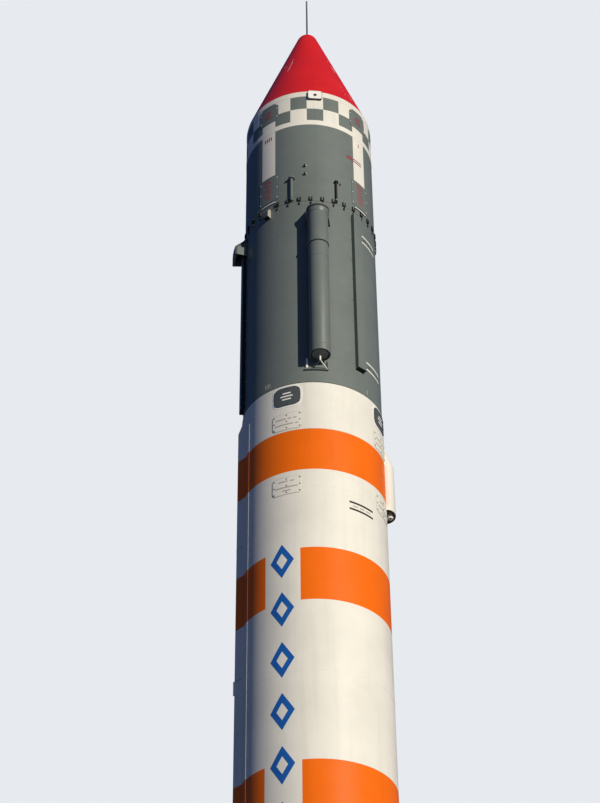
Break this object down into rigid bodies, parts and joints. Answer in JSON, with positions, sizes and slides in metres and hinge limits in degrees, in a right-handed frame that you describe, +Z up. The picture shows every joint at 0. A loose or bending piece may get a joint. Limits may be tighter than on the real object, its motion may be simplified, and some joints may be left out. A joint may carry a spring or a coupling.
{
  "type": "space rocket",
  "caption": "Tall two-stage space rocket with a striped lower stage, a grey upper stage with side tanks, and a chequered payload fairing that opens in halves.",
  "frame": {"origin": "on the rocket's axis, in the plane of its four support pads", "axes": "+Z up along the rocket's axis, -Y towards plane IV and +X towards plane I"},
  "size_m": [2.74, 2.74, 33.48],
  "materials": {
    "stage1_paint": "semi-gloss cream white paint with orange bands",
    "stage2_paint": "satin mid-grey paint",
    "fairing_paint": "satin grey paint with white rings, chequers and a red cone",
    "nose_paint": "satin red paint",
    "lock_paint": "semi-gloss cream white paint",
    "hatch_paint": "satin dark grey paint",
    "inner_paint": "flat primer green",
    "support_steel": "dark grey paint, worn",
    "engine_metal": "satin",
    "nozzle_metal": "heat-tinted",
    "vane_graphite": "matte graphite",
    "rod_metal": "dull"
  },
  "bodies": {
    "vehicle": {"tail_support_ring": "support_steel", "tail_skirt": "stage1_paint", "engine_bulkhead": "inner_paint", "engine_block": "engine_metal", "stage1_fuel_tank": "stage1_paint", "stage1_intertank": "stage1_paint", "stage1_oxidiser_tank": "stage1_paint", "interstage_skirt": "stage1_paint", "stage1_raceway": "stage1_paint", "vent_pod": "stage1_paint", "vent_pipe": "engine_metal", "stage2_shell": "stage2_paint", "stage2_raceway_left": "stage2_paint", "stage2_raceway_right": "stage2_paint", "connector_box": "stage2_paint", "separation_ring": "stage2_paint", "payload_adapter": "inner_paint", "thrust_chamber_1": "nozzle_metal", "vane_actuator_1": "engine_metal", "thrust_chamber_2": "nozzle_metal", "vane_actuator_2": "engine_metal", "thrust_chamber_3": "nozzle_metal", "vane_actuator_3": "engine_metal", "thrust_chamber_4": "nozzle_metal", "vane_actuator_4": "engine_metal", "access_hatch_1": "hatch_paint", "access_hatch_2": "hatch_paint", "access_hatch_3": "hatch_paint", "side_tank_1": "stage2_paint", "tank_bracket_1": "stage2_paint", "hinge_block_1": "stage2_paint", "joint_bracket_1": "stage2_paint", "side_tank_2": "stage2_paint", "tank_bracket_2": "stage2_paint", "hinge_block_2": "stage2_paint", "joint_bracket_2": "stage2_paint"},
    "fairing_half_a": {"fairing_shell_a": "fairing_paint", "nose_cap": "nose_paint", "lightning_rod": "rod_metal", "lock_box_1": "lock_paint", "pusher_1": "stage2_paint", "pusher_4": "stage2_paint"},
    "fairing_half_b": {"fairing_shell_b": "fairing_paint", "lock_box_2": "lock_paint", "pusher_2": "stage2_paint", "pusher_3": "stage2_paint"},
    "vane_1": {"jet_vane_1": "vane_graphite"},
    "vane_2": {"jet_vane_2": "vane_graphite"},
    "vane_3": {"jet_vane_3": "vane_graphite"},
    "vane_4": {"jet_vane_4": "vane_graphite"}
  },
  "joints": [
    {"name": "fairing_hinge_a", "type": "hinge", "parent": "vehicle", "child": "fairing_half_a", "pos_m": [-0.85277, -0.85277, 26.6], "axis": [0.7071, -0.7071, 0], "range_deg": [0, 60]},
    {"name": "fairing_hinge_b", "type": "hinge", "parent": "vehicle", "child": "fairing_half_b", "pos_m": [0.85277, 0.85277, 26.6], "axis": [-0.7071, 0.7071, 0], "range_deg": [0, 60]},
    {"name": "vane_hinge_1", "type": "hinge", "parent": "vehicle", "child": "vane_1", "pos_m": [0, -0.84, 0.52], "axis": [0, -1, 0], "range_deg": [-25, 25]},
    {"name": "vane_hinge_2", "type": "hinge", "parent": "vehicle", "child": "vane_2", "pos_m": [0.84, 0, 0.52], "axis": [1, 0, 0], "range_deg": [-25, 25]},
    {"name": "vane_hinge_3", "type": "hinge", "parent": "vehicle", "child": "vane_3", "pos_m": [0, 0.84, 0.52], "axis": [0, 1, 0], "range_deg": [-25, 25]},
    {"name": "vane_hinge_4", "type": "hinge", "parent": "vehicle", "child": "vane_4", "pos_m": [-0.84, 0, 0.52], "axis": [-1, 0, 0], "range_deg": [-25, 25]}
  ]
}
